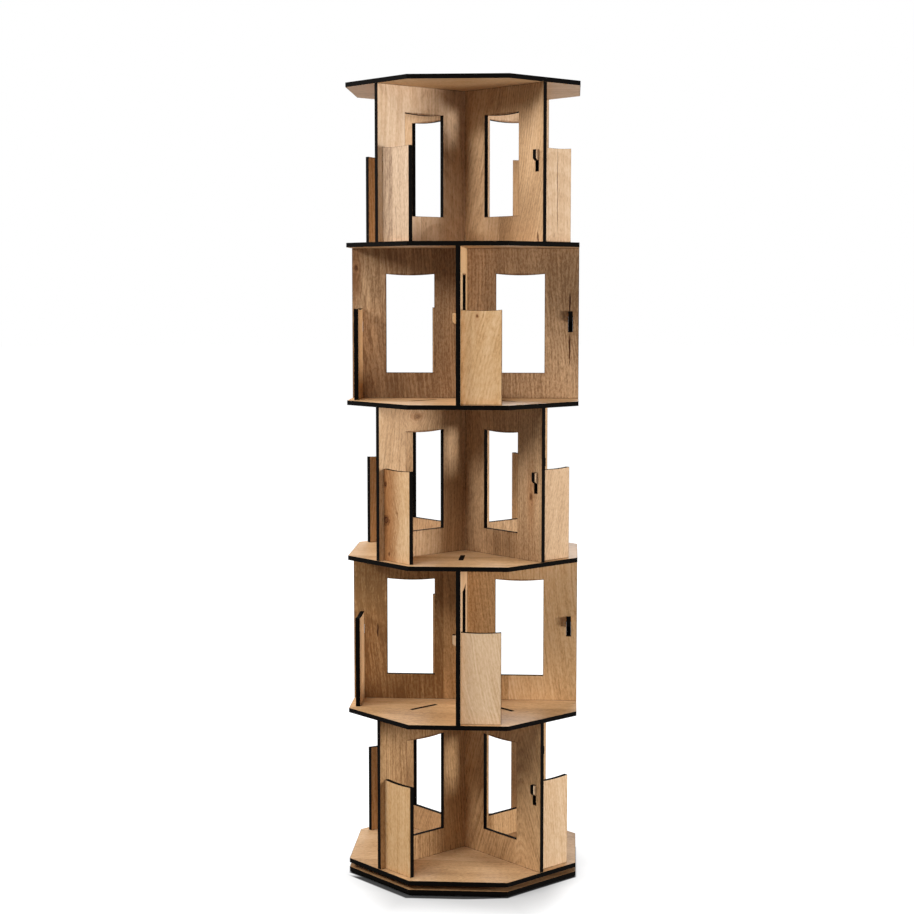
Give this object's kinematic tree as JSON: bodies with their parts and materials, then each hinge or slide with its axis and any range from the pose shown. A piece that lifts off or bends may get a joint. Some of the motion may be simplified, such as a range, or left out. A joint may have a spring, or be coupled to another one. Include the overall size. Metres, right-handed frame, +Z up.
{
  "type": "revolving bookcase",
  "caption": "Tall octagonal revolving bookcase: tiers of crossed windowed panels with hooked book stops between wood-faced boards, turning on a ball-bearing base.",
  "frame": {"origin": "on the floor under the turning axis", "axes": "+Z up along the turning axis; -Y is the front flat in the picture, +X to the right"},
  "size_m": [0.41, 0.41, 1.417],
  "materials": {
    "oak_board": "light oak decor with fine vertical grain, satin, on both faces; laser-cut edges charred black",
    "foot_pad": "matt black anti-slip pad",
    "zinc_steel": "zinc-plated pressed sheet",
    "screw_steel": "zinc-plated pan-head screw",
    "ball_steel": "polished bearing ball",
    "retainer_plastic": "natural plastic ring"
  },
  "bodies": {
    "base": {"base_plate": "oak_board", "turntable_lower_plate": "zinc_steel", "lower_screws": "screw_steel", "foot_pad_1": "foot_pad", "foot_pad_2": "foot_pad", "foot_pad_3": "foot_pad", "foot_pad_4": "foot_pad"},
    "carousel": {"turntable_upper_plate": "zinc_steel", "upper_screws": "screw_steel", "bottom_board": "oak_board", "shelf_1": "oak_board", "shelf_2": "oak_board", "shelf_3": "oak_board", "shelf_4": "oak_board", "top_board": "oak_board", "panel_1_a": "oak_board", "panel_1_b": "oak_board", "panel_2_a": "oak_board", "panel_2_b": "oak_board", "panel_3_a": "oak_board", "panel_3_b": "oak_board", "panel_4_a": "oak_board", "panel_4_b": "oak_board", "panel_5_a": "oak_board", "panel_5_b": "oak_board", "book_stop_1_1": "oak_board", "book_stop_1_2": "oak_board", "book_stop_1_3": "oak_board", "book_stop_1_4": "oak_board", "book_stop_2_1": "oak_board", "book_stop_2_2": "oak_board", "book_stop_2_3": "oak_board", "book_stop_2_4": "oak_board", "book_stop_3_1": "oak_board", "book_stop_3_2": "oak_board", "book_stop_3_3": "oak_board", "book_stop_3_4": "oak_board", "book_stop_4_1": "oak_board", "book_stop_4_2": "oak_board", "book_stop_4_3": "oak_board", "book_stop_4_4": "oak_board", "book_stop_5_1": "oak_board", "book_stop_5_2": "oak_board", "book_stop_5_3": "oak_board", "book_stop_5_4": "oak_board"},
    "ball_ring": {"ball_retainer": "retainer_plastic", "bearing_balls": "ball_steel"}
  },
  "joints": [
    {"name": "revolve", "type": "hinge", "parent": "base", "child": "carousel", "pos_m": [0, 0, 0.015], "axis": [0, 0, 1], "continuous": true},
    {"name": "ball_orbit", "type": "hinge", "parent": "base", "child": "ball_ring", "pos_m": [0, 0, 0.015], "axis": [0, 0, 1], "continuous": true}
  ],
  "couplings": [
    {"joint": "ball_orbit", "follows": "revolve", "ratio": 0.5}
  ]
}
